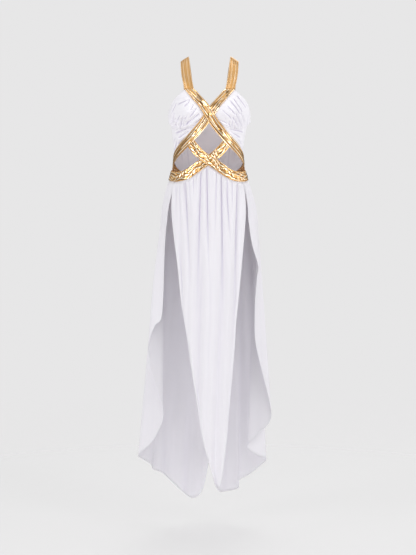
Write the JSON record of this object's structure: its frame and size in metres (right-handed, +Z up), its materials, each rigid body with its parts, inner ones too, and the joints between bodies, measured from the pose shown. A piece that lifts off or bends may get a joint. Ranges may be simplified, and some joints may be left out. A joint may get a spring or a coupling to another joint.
{
  "type": "cosplay dress",
  "caption": "Long sleeveless halter dress of white cloth with crossed gold foil bands, gathered cups, open sides and a slit, pointed skirt.",
  "frame": {"origin": "midway between the tops of the two shoulder straps, where the wearer's shoulders hold the dress", "axes": "+Z up along the standing wearer, the front of the dress faces -Y, +X to the right of someone who looks at the front"},
  "size_m": [0.4319, 0.3747, 1.4758],
  "materials": {
    "white_cloth": "soft matt white knit with a faint sheen",
    "gold_foil": "crinkled bright gold foil on stretch cloth"
  },
  "bodies": {
    "root": {"cup_left": "white_cloth", "cup_right": "white_cloth", "midriff_left": "white_cloth", "midriff_right": "white_cloth", "back_bodice": "white_cloth", "skirt_front": "white_cloth", "skirt_back_left": "white_cloth", "skirt_back_right": "white_cloth", "neck_strap_left": "gold_foil", "neck_strap_right": "gold_foil", "cross_band_over": "gold_foil", "cross_band_under": "gold_foil", "waist_band_over": "gold_foil", "waist_band_under": "gold_foil"}
  },
  "joints": []
}
